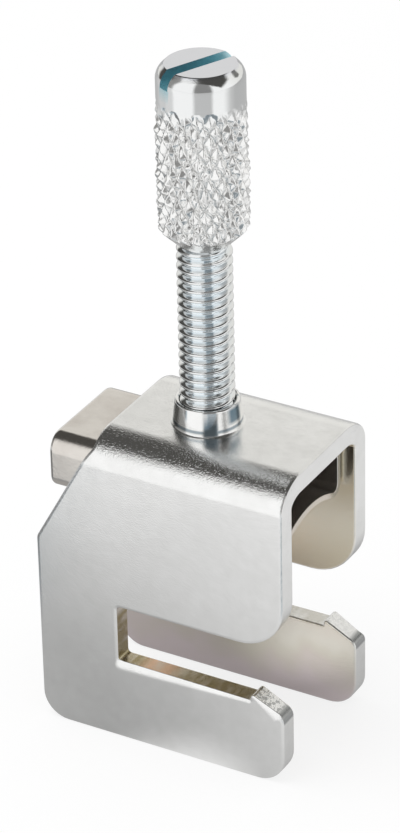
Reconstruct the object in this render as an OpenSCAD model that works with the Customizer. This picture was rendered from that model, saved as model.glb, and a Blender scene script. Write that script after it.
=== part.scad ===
// Shield connection clamp: a folded steel frame that hooks over a flat busbar, a pressure saddle
// for the cable, and a knurled clamping screw.
// Millimetres. +Z is up, the busbar slot opens to +X, and the frame stands on its lower edges at z = 0.

/* [Part] */
// Which piece to draw

/* [Frame sheet] */
// Thickness of the frame sheet
sheet = 1.6; // [1.2:0.1:2]
// Length of each side plate along the cable
plate_length = 19.8; // [18:0.2:24]
// Width between the outer faces of the side plates
frame_width = 12.5; // [11.5:0.1:14]
// Height from the lower edges to the top plate
frame_height = 24.2; // [22:0.2:28]
// Length of the top plate, which is shorter than the side plates
top_length = 15.15; // [13.5:0.05:17]
// Outer radius of the two long bends
bend_radius = 2; // [1.8:0.1:2.6]
// Height at which the slanted upper corner of a side plate starts
slant_start = 15.1; // [13:0.1:17]
// Height at which the slanted corner meets the end of the top plate
slant_end = 23.3; // [22.6:0.1:23.8]
// Rounding of the lower corner at the closed end
heel_radius = 2; // [1:0.1:3]

/* [Busbar slot] */
// Depth of the slot from the open end
slot_depth = 13.4; // [12.4:0.1:14.4]
// Height of the seat that carries the busbar
seat_height = 6.4; // [5.6:0.1:7]
// Clear height of the slot
slot_height = 4.6; // [4.2:0.1:5]
// Length of the seat from the closed end to the retaining nose
seat_length = 10.75; // [10.2:0.05:11.2]
// Height of the retaining nose above the seat
nose_height = 0.6; // [0.2:0.05:0.8]
// Drop of the lead-in from the nose to the prong's end
lead_in_drop = 1.4; // [0.8:0.1:2]
// Rounding between the lead-in and the prong's end
tip_radius = 0.8; // [0.2:0.1:1]
// Rounding of the lower corner at the open end
toe_radius = 2.2; // [1:0.1:3]
// Rounding of the upper jaw beside the slot's mouth
jaw_radius = 3.6; // [2:0.1:4.4]
// Fillets in the slot's closed end
slot_fillet = 0.3; // [0.1:0.1:0.6]

/* [Collar and thread] */
// Distance of the screw's axis from the open end
axis_from_mouth = 9.15; // [8.6:0.05:9.8]
// Outer diameter of the drawn collar
collar_d = 4.9; // [4.7:0.1:5.6]
// Height of the collar above the top plate
collar_height = 1.9; // [1.2:0.1:2.4]
// Diameter over the screw's thread crests
thread_d = 3.9; // [3.8:0.02:3.96]
// Rise of the thread in one turn
thread_pitch = 0.7; // [0.5:0.1:0.8]
// Depth of the thread
thread_depth = 0.4; // [0.3:0.02:0.44]
// Radial play of the screw in the collar
thread_play = 0.05; // [0.03:0.01:0.08]

/* [Clamping screw] */
// Bare thread between the collar and the grip with the saddle raised
free_thread = 12.2; // [12.1:0.1:14]
// Crest diameter of the knurled grip
knurl_d = 6.5; // [6.3:0.1:7]
// Depth of the knurling
knurl_depth = 0.3; // [0.2:0.02:0.4]
// Number of diamonds round the grip
knurl_count = 22; // [18:1:26]
// Rows of half diamonds along the grip
knurl_rows = 12; // [8:2:14]
// Length of the knurled band above its lower chamfer
knurl_length = 9.6; // [8:0.1:11]
// Diameter of the smooth top of the head
cap_d = 6.1; // [5.8:0.1:6.2]
// Length of the smooth top
cap_length = 2.7; // [2.2:0.1:4]
// Chamfer round the top
cap_chamfer = 0.6; // [0.2:0.1:0.7]
// Width of the screwdriver slot
driver_width = 0.9; // [0.7:0.05:1.2]
// Depth of the screwdriver slot
driver_depth = 1.1; // [0.8:0.1:1.5]
// Direction of the screwdriver slot from +X, in degrees
driver_angle = 65; // [0:1:180]

/* [Pressure saddle] */
// Thickness of the saddle sheet
saddle_sheet = 0.5; // [0.4:0.05:0.7]
// Play between the saddle and each side plate
side_play = 0.15; // [0.1:0.01:0.25]
// Gap between the raised saddle and the top plate
head_gap = 0.3; // [0.2:0.05:0.6]
// Height of the saddle
saddle_height = 4; // [3.8:0.1:4.8]
// Distance of the saddle from the frame's open end
mouth_recess = 1.05; // [0.8:0.05:1.4]
// Distance of the saddle from the frame's closed end
heel_recess = 0.3; // [0.2:0.05:0.8]
// Outer radius of the saddle's upper bends
saddle_bend = 1.2; // [1:0.1:1.5]
// Outer radius of the saddle's lower bends
horn_radius = 1; // [0.8:0.05:1.2]
// Rise of the arched underside that centres the cable
arch_rise = 0.85; // [0.6:0.05:1.2]

/* [Swivel] */
// Diameter of the journal in the saddle's roof
journal_d = 2.9; // [2.4:0.1:3.1]
// Radial play of the journal in the roof
journal_play = 0.05; // [0.03:0.01:0.08]
// End play of the journal between the shoulder and the riveted end
end_play = 0.04; // [0.02:0.01:0.08]
// Diameter of the riveted end under the roof
rivet_d = 4; // [3.6:0.1:4.4]
// Thickness of the riveted end
rivet_height = 0.7; // [0.5:0.05:0.9]

/* [Hidden] */
$fn = 96;
over = 1;
mouth_x = plate_length / 2;
heel_x = -plate_length / 2;
top_x = mouth_x - top_length;
slot_x = mouth_x - slot_depth;
nose_x = slot_x + seat_length;
nose_z = seat_height + nose_height;
jaw_z = seat_height + slot_height;
lead_z = nose_z - lead_in_drop;
lead_angle = atan(lead_in_drop / (mouth_x - nose_x));
tip_turn = 90 - lead_angle;
tip_z = lead_z - tip_radius * tan(tip_turn / 2);
tip_steps = 10;
axis_x = mouth_x - axis_from_mouth;
inner_width = frame_width - 2 * sheet;
roof_z = frame_height - sheet;
collar_z = frame_height + collar_height;
bore_d = thread_d + 2 * thread_play;
saddle_top = roof_z - head_gap;
saddle_low = saddle_top - saddle_height;
saddle_half = inner_width / 2 - side_play;
saddle_x0 = heel_x + heel_recess;
saddle_x1 = mouth_x - mouth_recess;
horn_y = saddle_half - horn_radius;
arch_radius = (pow(horn_y, 2) + pow(arch_rise, 2)) / (2 * arch_rise) - horn_radius;
arch_z = saddle_low + arch_rise - arch_radius;
roof_under = saddle_top - saddle_sheet;
shoulder_z = saddle_top + end_play;
rivet_z = roof_under - end_play;
grip_z = collar_z + free_thread;
thread_root = thread_d / 2 - thread_depth;
thread_flank = thread_depth * tan(30);
root_flat = thread_pitch / 5;
land_height = 0.5;
least_neck = 0.05;
thread_z = shoulder_z + land_height;
thread_rings = floor((grip_z - thread_z - least_neck) / thread_pitch);
knurl_root = knurl_d / 2 - knurl_depth;
grip_chamfer = knurl_root - thread_d / 2;
knurl_z = grip_z + grip_chamfer;
cap_z = knurl_z + knurl_length;
head_z = cap_z + cap_length;
knurl_step = knurl_length / knurl_rows;
valley_sink = 0.06;
knurl_valley = knurl_root - valley_sink;
knurl_core = knurl_valley - knurl_depth;

// The sliver outside a rounded corner that points to the origin of its own quadrant
module corner_waste(radius, angle) {
    rotate(angle)
        difference() {
            translate([-over, -over])
                square(radius + over);
            translate([radius, radius])
                circle(radius);
        }
}

// A fillet for an inner corner at the origin
module fillet(radius, angle) {
    rotate(angle)
        difference() {
            square(radius);
            translate([radius, radius])
                circle(radius);
        }
}

// Side view of a side plate: the hook with its seat, nose and slanted corner
module side_outline() {
    tip_centre = [mouth_x - tip_radius, tip_z];
    difference() {
        polygon([
            [heel_x, 0],
            [mouth_x, 0],
            for (k = [0:tip_steps])
                let (a = tip_turn * k / tip_steps)
                tip_centre + tip_radius * [cos(a), sin(a)],
            [nose_x, nose_z],
            [nose_x, seat_height],
            [slot_x, seat_height],
            [slot_x, jaw_z],
            [mouth_x, jaw_z],
            [mouth_x, frame_height],
            [top_x, frame_height],
            [top_x, slant_end],
            [heel_x, slant_start]
        ]);
        translate([heel_x, 0])
            corner_waste(heel_radius, 0);
        translate([mouth_x, 0])
            corner_waste(toe_radius, 90);
        translate([mouth_x, jaw_z])
            corner_waste(jaw_radius, 90);
    }
    translate([slot_x, seat_height])
        fillet(slot_fillet, 0);
    translate([slot_x, jaw_z])
        fillet(slot_fillet, -90);
}

// End view of a sheet channel that is open below, with rounded upper corners
module channel_block(width, top, low, radius) {
    translate([-width / 2, low])
        square([width, top - radius - low]);
    translate([-width / 2 + radius, low])
        square([width - 2 * radius, top - low]);
    for (side = [-1, 1])
        translate([side * (width / 2 - radius), top - radius])
            circle(radius);
}

// End view of the frame: top plate, two bends and two side plates
module frame_section() {
    difference() {
        channel_block(frame_width, frame_height, 0, bend_radius);
        channel_block(inner_width, roof_z, -over, bend_radius - sheet);
    }
}

// Turns a profile drawn in y and z into a bar along x
module along_x(x0, x1) {
    translate([x0, 0, 0])
        rotate([90, 0, 90])
            linear_extrude(x1 - x0)
                children();
}

// The folded frame with its slots, and the collar drawn up for the thread
module frame() {
    color([0.78, 0.78, 0.76])
        difference() {
            union() {
                intersection() {
                    along_x(heel_x, mouth_x)
                        frame_section();
                    translate([0, frame_width, 0])
                        rotate([90, 0, 0])
                            linear_extrude(2 * frame_width)
                                side_outline();
                }
                translate([axis_x, 0, frame_height - sheet / 2])
                    cylinder(d = collar_d, h = collar_height + sheet / 2);
            }
            translate([axis_x, 0, roof_z - over])
                cylinder(d = bore_d, h = sheet + collar_height + 2 * over);
        }
}

// End view of the saddle's outside, or of its hollow with the sheet's thickness as inset
module saddle_section(inset) {
    arch = arch_radius + inset;
    horn = horn_radius - inset;
    bend = saddle_bend - inset;
    half = saddle_half - inset;
    top = saddle_top - inset;
    bend_z = saddle_low + horn_radius;
    share = arch / (arch_radius + horn_radius);
    touch_y = horn_y * share;
    touch_z = arch_z + (bend_z - arch_z) * share;
    difference() {
        union() {
            channel_block(2 * half, top, bend_z, bend);
            for (side = [-1, 1])
                translate([side * horn_y, bend_z])
                    circle(horn);
            polygon([
                [-horn_y, bend_z],
                [-touch_y, touch_z],
                [touch_y, touch_z],
                [horn_y, bend_z]
            ]);
        }
        translate([0, arch_z])
            circle(arch);
    }
}

// The hollow saddle: flat roof with the swivel hole, two walls and the arched underside
module pressure_saddle() {
    color([0.74, 0.71, 0.68])
        difference() {
            along_x(saddle_x0, saddle_x1)
                difference() {
                    saddle_section(0);
                    saddle_section(saddle_sheet);
                }
            translate([axis_x, 0, roof_under - saddle_sheet])
                cylinder(d = journal_d + 2 * journal_play, h = 3 * saddle_sheet);
        }
}

// A sleeve of pyramids: crests and valleys alternate round and along the grip, and the valleys lie just
// inside the turned body, so that each pyramid stands by itself
module knurl_band() {
    columns = 2 * knurl_count;
    crest = knurl_d / 2;
    outer = [for (j = [0:knurl_rows]) for (i = [0:columns - 1])
        let (
            raised = (i + j) % 2 == 0 && j > 0 && j < knurl_rows,
            r = raised ? crest : knurl_valley,
            a = 360 * i / columns
        )
        [r * cos(a), r * sin(a), j * knurl_step]];
    inner = [for (j = [0, 1]) for (i = [0:columns - 1])
        let (a = 360 * i / columns)
        [knurl_core * cos(a), knurl_core * sin(a), j * knurl_length]];
    base = len(outer);
    last = knurl_rows * columns;
    skin = [for (j = [0:knurl_rows - 1]) for (i = [0:columns - 1])
        let (
            k = (i + 1) % columns,
            p = j * columns + i,
            q = j * columns + k,
            even = (i + j) % 2 == 0
        )
        each even
            ? [[p, p + columns, q], [q, p + columns, q + columns]]
            : [[p, q + columns, q], [p, p + columns, q + columns]]];
    core = [for (i = [0:columns - 1])
        let (k = (i + 1) % columns)
        each [
            [base + i, base + k, base + columns + k],
            [base + i, base + columns + k, base + columns + i],
            [i, k, base + k],
            [i, base + k, base + i],
            [last + i, base + columns + k, last + k],
            [last + i, base + columns + i, base + columns + k]
        ]];
    polyhedron(points = concat(outer, inner), faces = concat(skin, core), convexity = 6);
}

// Half section of the turned screw, from the riveted end up to the slotted head. The thread is a row of
// level rings with its pitch and flanks
module screw_section() {
    polygon([
        [0, rivet_z - rivet_height],
        [rivet_d / 2, rivet_z - rivet_height],
        [rivet_d / 2, rivet_z],
        [journal_d / 2, rivet_z],
        [journal_d / 2, shoulder_z],
        [thread_d / 2, shoulder_z],
        [thread_d / 2, thread_z - thread_flank],
        for (k = [0:thread_rings - 1])
            let (z = thread_z + k * thread_pitch)
            each [
                [thread_root, z],
                [thread_root, z + root_flat],
                [thread_d / 2, z + root_flat + thread_flank],
                [thread_d / 2, z + thread_pitch - thread_flank]
            ],
        [thread_root, thread_z + thread_rings * thread_pitch],
        [thread_root, grip_z],
        [thread_d / 2, grip_z],
        [knurl_root, knurl_z],
        [knurl_root, cap_z],
        [cap_d / 2, cap_z],
        [cap_d / 2, head_z - cap_chamfer],
        [cap_d / 2 - cap_chamfer, head_z],
        [0, head_z]
    ]);
}

// The one-piece screw: riveted journal, threaded shank, knurled grip and slotted top
module clamping_screw() {
    color([0.8, 0.83, 0.85])
        translate([axis_x, 0, 0])
            difference() {
                union() {
                    rotate_extrude()
                        screw_section();
                    translate([0, 0, knurl_z])
                        knurl_band();
                }
                rotate([0, 0, driver_angle])
                    translate([-knurl_d, -driver_width / 2, head_z - driver_depth])
                        cube([2 * knurl_d, driver_width, 2 * driver_depth]);
            }
}

frame();
pressure_saddle();
clamping_screw();
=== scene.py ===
"""Looks of a shield connection clamp: the folded frame, the pressure saddle and the knurled clamping
screw as finished surfaces, and the stage that they are shown on. Lengths are in metres."""

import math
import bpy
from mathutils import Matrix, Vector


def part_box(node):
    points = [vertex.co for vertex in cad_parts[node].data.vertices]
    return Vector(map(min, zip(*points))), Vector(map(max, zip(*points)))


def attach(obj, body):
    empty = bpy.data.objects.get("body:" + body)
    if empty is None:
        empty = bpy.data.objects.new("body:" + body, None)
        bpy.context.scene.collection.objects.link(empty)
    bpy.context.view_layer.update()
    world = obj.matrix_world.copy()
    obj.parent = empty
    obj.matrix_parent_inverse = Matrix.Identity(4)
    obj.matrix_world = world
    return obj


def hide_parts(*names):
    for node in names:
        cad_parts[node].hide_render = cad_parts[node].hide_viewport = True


bl_info = {
    "name": "Shield Connection Clamp",
    "version": (1, 0, 0),
    "blender": (4, 5, 0),
    "location": "3D View > Sidebar > Clamp",
    "description": "Builds the plated sheet parts, the knurled screw and the studio of a shield clamp",
    "category": "Object",
}

import bpy
import numpy as np
from mathutils import Matrix, Vector
from mathutils.geometry import delaunay_2d_cdt

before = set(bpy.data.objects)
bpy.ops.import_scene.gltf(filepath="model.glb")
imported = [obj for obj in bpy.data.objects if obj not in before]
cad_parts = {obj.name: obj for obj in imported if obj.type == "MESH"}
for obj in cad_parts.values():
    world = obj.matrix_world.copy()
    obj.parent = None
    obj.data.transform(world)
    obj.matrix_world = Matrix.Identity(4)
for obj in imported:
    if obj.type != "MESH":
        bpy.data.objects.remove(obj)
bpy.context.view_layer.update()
FRAME_LOW, FRAME_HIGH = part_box("frame")
SADDLE_LOW, SADDLE_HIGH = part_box("pressure_saddle")
SCREW_LOW, SCREW_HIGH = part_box("clamping_screw")
SCREW_AXIS = (SCREW_LOW.x + SCREW_HIGH.x) / 2
MM = 0.001
QUARTER = math.pi / 2
WHITE = (1.0, 1.0, 1.0)
GRAIN_HEIGHT = 0.03 * MM


def length(name, description, default):
    """A size in metres."""
    return bpy.props.FloatProperty(
        name=name, description=description, default=default, precision=5, unit="LENGTH", subtype="DISTANCE"
    )


def tint(name, description, default):
    """A linear colour."""
    return bpy.props.FloatVectorProperty(
        name=name, description=description, default=default, size=3, min=0.0, max=1.0, subtype="COLOR"
    )


def spot(name, description, default):
    """A place in metres."""
    return bpy.props.FloatVectorProperty(
        name=name, description=description, default=default, size=3, precision=5, unit="LENGTH", subtype="XYZ"
    )


def share(name, description, default):
    """A number from 0 to 1."""
    return bpy.props.FloatProperty(
        name=name, description=description, default=default, min=0.0, max=1.0, subtype="FACTOR"
    )


def turn(name, description, degrees):
    """An angle."""
    return bpy.props.FloatProperty(
        name=name, description=description, default=math.radians(degrees), unit="ROTATION", subtype="ANGLE"
    )


class FrameSizes(bpy.types.PropertyGroup):
    """Sizes of the folded frame"""

    sheet: length("Sheet", "Thickness of the folded sheet", 1.6 * MM)
    width: length("Width", "Width over the two side plates", FRAME_HIGH.y - FRAME_LOW.y)
    heel_x: length("Closed end", "Place of the closed end along the cable", FRAME_LOW.x)
    mouth_x: length("Open end", "Place of the open end along the cable", FRAME_HIGH.x)
    top_x: length("Top plate's end", "Place where the shorter top plate ends", -5.25 * MM)
    height: length("Height", "Height of the top plate", 24.2 * MM)
    bend_reach: length("Bend reach", "Reach of the bends across the top plate", 2.9 * MM)
    bend_fall: length("Bend fall", "Fall of the bends down the side plates", 2.2 * MM)
    slant_start: length("Slant start", "Height where the slanted corner starts", 15.1 * MM)
    slant_end: length("Slant end", "Height where the slanted corner meets the top plate", 23.3 * MM)
    slot_x: length("Slot end", "Place of the closed end of the busbar slot", -3.5 * MM)
    seat_z: length("Seat", "Height of the busbar's seat", 6.4 * MM)
    jaw_z: length("Jaw", "Height of the slot's upper edge", 11 * MM)
    nose_x: length("Nose place", "Place of the retaining nose", 7.25 * MM)
    nose_z: length("Nose height", "Height of the retaining nose", 7 * MM)
    lead_z: length("Lead-in", "Height where the lead-in would meet the prong's end", 5.6 * MM)
    jaw_radius: length("Jaw radius", "Rounding of the jaw beside the slot's mouth", 3.6 * MM)
    slot_fillet: length("Slot fillet", "Fillets in the slot's closed end", 0.3 * MM)
    nose_root: length("Nose root", "Fillet between the seat and the nose", 0.12 * MM)
    nose_radius: length("Nose radius", "Rounding of the nose", 0.24 * MM)
    tip_radius: length("Tip radius", "Rounding of the prong's upper corner", 0.8 * MM)
    toe_radius: length("Toe radius", "Rounding of the lower corner at the open end", 2.2 * MM)
    heel_radius: length("Heel radius", "Rounding of the lower corner at the closed end", 2 * MM)
    slant_radius: length("Slant radius", "Rounding at the two ends of the slanted corner", 0.9 * MM)
    edge_roll: length("Edge roll", "Width of the roll that the punch draws into the outer edges", 0.75 * MM)
    edge_lean: turn("Edge lean", "Slope of the roll where it meets the cut", 23)
    edge_break: length("Edge break", "Rounding of the outer corner beside the cut", 0.06 * MM)
    inner_break: length("Inner break", "Rounding of the inner corner beside the cut", 0.16 * MM)
    collar_radius: length("Collar radius", "Outer radius at the foot of the drawn collar", 2.5 * MM)
    collar_draft: length("Collar draft", "Amount by which the collar narrows towards its rim", 0.2 * MM)
    collar_top: length("Collar top", "Height of the collar's rim", FRAME_HIGH.z)
    collar_fillet: length("Collar fillet", "Fillet round the foot of the collar", 0.16 * MM)
    collar_rim: length("Collar rim", "Rounding of the collar's rim", 0.14 * MM)
    bore_radius: length("Bore radius", "Radius of the threaded bore", 2 * MM)
    bore_entry: length("Bore entry", "Drawn-in rounding under the top plate", 0.35 * MM)


class SaddleSizes(bpy.types.PropertyGroup):
    """Sizes of the pressure saddle"""

    sheet: length("Sheet", "Thickness of the saddle sheet", 0.5 * MM)
    low_x: length("Closed end", "Place of the end at the frame's closed side", SADDLE_LOW.x)
    high_x: length("Open end", "Place of the end at the frame's open side", SADDLE_HIGH.x)
    half: length("Half width", "Half of the saddle's width", SADDLE_HIGH.y)
    top: length("Top", "Height of the roof", SADDLE_HIGH.z + 0.1 * MM)
    low: length("Underside", "Height of the lowest edges", SADDLE_LOW.z - 0.1 * MM)
    bend_reach: length("Bend reach", "Reach of the upper bends across the roof", 1.3 * MM)
    bend_fall: length("Bend fall", "Fall of the upper bends down the walls", 1.3 * MM)
    horn_radius: length("Lower bend radius", "Outer radius of the lower bends", 1 * MM)
    arch_rise: length("Arch", "Rise of the arched underside", 0.85 * MM)
    hole_radius: length("Hole radius", "Radius of the swivel hole in the roof", 1.5 * MM)
    edge_roll: length("Edge roll", "Width of the roll along the sheared edges", 0.22 * MM)
    edge_lean: turn("Edge lean", "Slope of the roll where it meets the cut", 25)
    edge_break: length("Edge break", "Rounding of the corners beside the cut", 0.06 * MM)


class ScrewSizes(bpy.types.PropertyGroup):
    """Sizes of the clamping screw"""

    axis_x: length("Axis", "Place of the screw's axis", SCREW_AXIS)
    low_z: length("Rivet's underside", "Lowest point of the riveted end", SCREW_LOW.z)
    rivet_z: length("Rivet", "Top of the riveted end", 21.86 * MM)
    rivet_radius: length("Rivet radius", "Radius of the riveted end", 2 * MM)
    journal_radius: length("Journal radius", "Radius of the journal in the saddle", 1.45 * MM)
    shoulder_z: length("Shoulder", "Height of the shoulder above the saddle", 22.44 * MM)
    thread_z: length("Thread start", "Height where the thread starts", 22.9 * MM)
    thread_radius: length("Thread radius", "Radius over the thread's crests", 1.95 * MM)
    thread_pitch: length("Thread pitch", "Rise of the thread in one turn", 0.7 * MM)
    thread_depth: length("Thread depth", "Depth of the thread", 0.4 * MM)
    grip_z: length("Grip", "Height where the grip starts", 38.3 * MM)
    knurl_radius: length("Knurl radius", "Radius over the knurl's crests", 3.25 * MM)
    knurl_depth: length("Knurl depth", "Depth of the knurl's grooves", 0.42 * MM)
    knurl_count: bpy.props.IntProperty(
        name="Knurl count", description="Diamonds round the grip", default=22, min=6
    )
    diamond_length: length("Diamond length", "Length of a diamond along the grip", 1.6 * MM)
    fade_z: length("Knurl fade", "Height where the knurl starts to fade into the smooth top", 47.9 * MM)
    cap_z: length("Cap", "Height where the smooth top starts", 49.2 * MM)
    cap_radius: length("Cap radius", "Radius of the smooth top", 3.05 * MM)
    cap_chamfer: length("Cap chamfer", "Chamfer round the top", 0.6 * MM)
    head_z: length("Head", "Height of the top face", SCREW_HIGH.z)
    driver_width: length("Driver width", "Width of the screwdriver slot", 0.9 * MM)
    driver_depth: length("Driver depth", "Depth of the screwdriver slot", 1.1 * MM)
    driver_angle: turn("Driver angle", "Direction of the screwdriver slot", 65)
    driver_break: length("Driver edge", "Broken edge along the screwdriver slot", 0.05 * MM)
    stain_reach: length("Stain", "Reach of the blue stain below the screwdriver slot's ends", 1.0 * MM)


class Finishes(bpy.types.PropertyGroup):
    """Plating colours and gloss"""

    frame_tint: tint("Frame plating", "Satin plating of the frame", (0.955, 0.955, 0.947))
    frame_shade: tint("Frame shade", "Duller patches of the frame's plating", (0.893, 0.893, 0.882))
    # Painted reflection: the warm tones inside the fold stand in for the two plates mirroring each other, and
    # the pale straw in the prongs' tips is painted light near the open end.
    painted_inner_reflection_tint: tint("Inner faces", "Straw tone on the faces inside the fold", (0.88, 0.825, 0.71))
    painted_low_reflection_tint: tint("Inner feet", "Rosy tone low on the inside", (0.98, 0.87, 0.88))
    painted_tip_light_tint: tint("Inner tips", "Pale straw tone inside the prongs' tips", (0.985, 0.955, 0.86))
    cut_tint: tint("Cut edges", "Torn zone of the punched edges", (0.70, 0.67, 0.61))
    slot_rosy_tint: tint("Slot edge, rosy", "Rosy patch of the slot's torn edges", (0.90, 0.66, 0.52))
    slot_tint: tint("Busbar slot", "Oiled bare steel on the cut faces of the busbar slot", (0.46, 0.40, 0.25))
    scuff_tint: tint("Scuffs", "Dark scuffs on the lead-in edges", (0.20, 0.21, 0.21))
    # Also the colour of the painted shade round the collar's foot and of the painted dark reflection down its
    # front.
    stain_and_painted_light_tint: tint("Collar stains", "Dark blue stains and draw marks on the collar", (0.15, 0.22, 0.27))
    saddle_tint: tint("Saddle plating", "Warm plating of the saddle", (0.77, 0.735, 0.69))
    saddle_cut_tint: tint("Saddle cut", "Straw tone of the saddle's cut ends", (0.74, 0.67, 0.59))
    saddle_shade: tint("Saddle shade", "Duller patches of the saddle's plating", (0.71, 0.665, 0.62))
    screw_tint: tint("Screw plating", "Bright plating of the screw", (0.87, 0.88, 0.88))
    thread_tint: tint("Thread valleys", "Blue tone in the thread", (0.85, 0.92, 0.96))
    grip_tint: tint("Grip plating", "Whiter plating of the knurl", (0.95, 0.95, 0.94))
    pit_tint: tint("Knurl pits", "Dull grey where the knurl's grooves cross", (0.26, 0.26, 0.25))
    face_tint: tint("Top face", "Cooler plating of the screw's top face", (0.78, 0.79, 0.83))
    driver_tint: tint("Driver slot", "Blue pooled in the screwdriver slot", (0.48, 0.77, 0.84))
    frame_rough: share("Frame roughness", "Mean roughness of the frame", 0.17)
    saddle_rough: share("Saddle roughness", "Mean roughness of the saddle", 0.18)
    screw_rough: share("Screw roughness", "Mean roughness of the screw", 0.1)


class StageSizes(bpy.types.PropertyGroup):
    """Floor, studio and camera"""

    floor_size: length("Floor", "Half of the floor's side", 2.0)
    floor_tint: tint("Floor colour", "Colour of the floor", (0.92, 0.92, 0.92))
    floor_glow: share("Floor glow", "Share of the floor's look that is even white, without shadow", 0.8)
    dim_spot: spot("Dim spot", "Middle of the floor's dim patch, as mirrors show it", (-27 * MM, 15 * MM, 0))
    lit_spot: spot("Lit spot", "Middle of the floor's lit patch in the mouth", (3.5 * MM, -3.5 * MM, 0))
    wall_tint: tint("Studio wall", "Brightness of the studio in front of the clamp", (1.0, 1.0, 1.0))
    back_tint: tint("Studio back", "Brightness of the studio behind the clamp", (0.82, 0.812, 0.785))
    cool_tint: tint("Cool floor", "Tone of the floor's dim wedges near the clamp", (0.30, 0.66, 0.92))
    ceiling_rise: turn("Ceiling rise", "Height angle over the front where the dark ceiling starts", 64)
    ceiling_fall: turn("Ceiling fall", "Height angle, counted over the top, where the dark ceiling ends", 136)
    ceiling_tint: tint("Studio ceiling", "Brightness of the dark ceiling", (0.07, 0.068, 0.064))
    fill_tint: tint("Fill light", "Brightness of the even light that isn't mirrored", (0.8, 0.8, 0.8))
    lamp_power: bpy.props.FloatProperty(
        name="Overhead lamp", description="Power of the overhead lamp", default=1.0, min=0.0, unit="POWER"
    )
    lamp_width: length("Lamp width", "Width of the overhead lamp", 0.35)
    lamp_place: spot("Lamp place", "Place of the overhead lamp", (-0.12, -0.1, 0.5))
    lamp_aim: spot("Lamp aim", "Point that the overhead lamp faces", (0, 0, 0.03))
    aim: spot("Camera aim", "Point at the middle of the picture", (0.26 * MM, -0.27 * MM, 24.49 * MM))
    azimuth: turn("Camera azimuth", "Direction of the camera round the clamp", 30.09)
    elevation: turn("Camera elevation", "Height angle of the camera", 29.89)
    roll: turn("Camera roll", "Tilt of the camera about its own axis", -1.33)
    distance: length("Camera distance", "Distance of the camera from its aim", 282.4 * MM)
    lens: bpy.props.FloatProperty(
        name="Lens", description="Focal length in millimetres", default=116.64, min=1.0
    )


def unit(vectors):
    """Vectors divided by their lengths."""
    return vectors / np.linalg.norm(vectors, axis=-1, keepdims=True)


def weld(points, grain=1e-7):
    """One number for all points in the same tiny cell, tried on two lattices half a cell apart."""
    _, first, cell = np.unique(np.round(points / grain), axis=0, return_index=True, return_inverse=True)
    kept = points[first]
    _, again, joined = np.unique(np.floor(kept / grain), axis=0, return_index=True, return_inverse=True)
    return kept[again], joined.ravel()[cell.ravel()]


def grid_quads(rows, columns, close_rows=False, close_columns=False):
    """Quads of a grid that is numbered row by row; a closed direction joins its last line to its first."""
    a, b = np.meshgrid(
        np.arange(rows if close_rows else rows - 1),
        np.arange(columns if close_columns else columns - 1),
        indexing="ij",
    )
    c, d = (a + 1) % rows, (b + 1) % columns
    return np.stack([a * columns + b, a * columns + d, c * columns + d, c * columns + b], -1).reshape(-1, 4)


def fan(count):
    """Triangles from the first of some points to each pair of neighbours among the others."""
    n = np.arange(1, count - 1)
    return np.stack([n * 0, n, n + 1], 1)


class Skin:
    """Patches of one piece before they are welded: points, outward normals, finish marks and faces"""

    def __init__(self):
        self.points, self.normals, self.quads, self.tris, self.marks = [], [], [], [], []
        self.count = 0

    def add(self, points, normals, faces, **marks):
        """Adds a patch. A mark is a number for each point, or one number for all of them."""
        points = np.asarray(points, float)
        shape = points.shape[:-1]
        (self.quads if faces.shape[1] == 4 else self.tris).append(faces + self.count)
        self.points.append(points.reshape(-1, 3))
        self.normals.append(np.broadcast_to(normals, points.shape).reshape(-1, 3))
        self.marks.append({name: np.broadcast_to(value, shape).ravel() for name, value in marks.items()})
        self.count += self.points[-1].shape[0]

    def faces(self, joined, points, normals):
        """Welded faces that agree with their normals; a quad with two joined corners becomes a triangle."""
        quads = np.concatenate(self.quads + [np.zeros((0, 4), int)])
        tris = np.concatenate(self.tris + [np.zeros((0, 3), int)])
        same = joined[quads] == joined[np.roll(quads, -1, 1)]
        pinched = same.any(1)
        corner = (np.argmax(same[pinched], 1)[:, None] + np.arange(1, 4)) % 4
        tris = np.concatenate([tris, np.take_along_axis(quads[pinched], corner, 1)])
        quads = quads[~pinched]
        ids = joined[tris]
        tris = tris[(ids[:, 0] != ids[:, 1]) & (ids[:, 1] != ids[:, 2]) & (ids[:, 2] != ids[:, 0])]
        turned = []
        for group in (quads, tris):
            p = points[group]
            facing = np.cross(p[:, 2] - p[:, 0], p[:, -1] - p[:, 1])
            wrong = (facing * normals[group].sum(1)).sum(1) < 0
            turned.append(np.where(wrong[:, None], group[:, ::-1], group))
        return turned

    def piece(self, name, plating, body, node, slot):
        """Makes the object: welded points, faces with their corner normals, and the marks as attributes."""
        points, normals = np.concatenate(self.points), unit(np.concatenate(self.normals))
        kept, joined = weld(points)
        quads, tris = self.faces(joined, points, normals)
        mesh = bpy.data.meshes.new(name)
        mesh.from_pydata(kept.tolist(), [], joined[quads].tolist() + joined[tris].tolist())
        mesh.shade_smooth()
        corners = np.concatenate([quads.ravel(), tris.ravel()])
        mesh.normals_split_custom_set(normals[corners].tolist())
        for mark in sorted(set().union(*self.marks)):
            values = np.concatenate(
                [m.get(mark, np.zeros(len(p))) for m, p in zip(self.marks, self.points)]
            )
            layer = mesh.attributes.new(mark, "FLOAT", "CORNER")
            layer.data.foreach_set("value", values[corners].astype(np.float32))
        mesh.materials.append(plating)
        piece = bpy.data.objects.new(name, mesh)
        bpy.context.scene.collection.objects.link(piece)
        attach(piece, body)
        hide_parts(node)


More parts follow.
